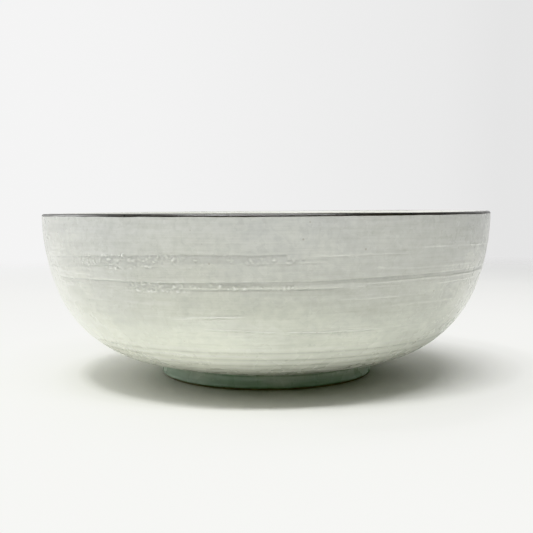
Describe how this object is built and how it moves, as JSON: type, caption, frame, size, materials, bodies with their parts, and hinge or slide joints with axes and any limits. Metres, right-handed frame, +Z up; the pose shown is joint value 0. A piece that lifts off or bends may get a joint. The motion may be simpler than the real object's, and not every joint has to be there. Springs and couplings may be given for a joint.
{
  "type": "serving bowl",
  "caption": "Round porcelain serving bowl on a low foot ring, pale grey-white glaze over brushed slip, dark iron lip line.",
  "frame": {"origin": "centre of the circle that the foot ring stands on, in the plane of the table", "axes": "+Z up along the bowl's axis of rotation; -Y towards the side that carries most of the slip strokes; +X to the right of that side"},
  "size_m": [0.24, 0.24, 0.0876],
  "materials": {
    "porcelain_body": "matt fired porcelain, hidden under the glaze",
    "foot_clay": "bare fired clay with a fine tooth, warm grey-buff",
    "outer_glaze": "satin-gloss pale grey-white celadon glaze over streaky brushed slip",
    "inner_glaze": "satin-gloss pale grey-white celadon glaze with faint throwing rings",
    "foot_glaze": "thicker green-grey glaze pooled round the foot",
    "base_glaze": "satin-gloss pale grey-green glaze",
    "iron_rim": "glossy dark brown-black iron glaze",
    "brushed_slip": "pale glazed slip with bristle streaks"
  },
  "bodies": {
    "root": {"bowl_body": "porcelain_body", "foot_ring": "foot_clay", "outer_glaze": "outer_glaze", "inner_glaze": "inner_glaze", "foot_glaze": "foot_glaze", "base_glaze": "base_glaze", "rim_band": "iron_rim", "upper_slip_stroke": "brushed_slip", "middle_slip_stroke": "brushed_slip", "lower_slip_strokes": "brushed_slip"}
  },
  "joints": []
}
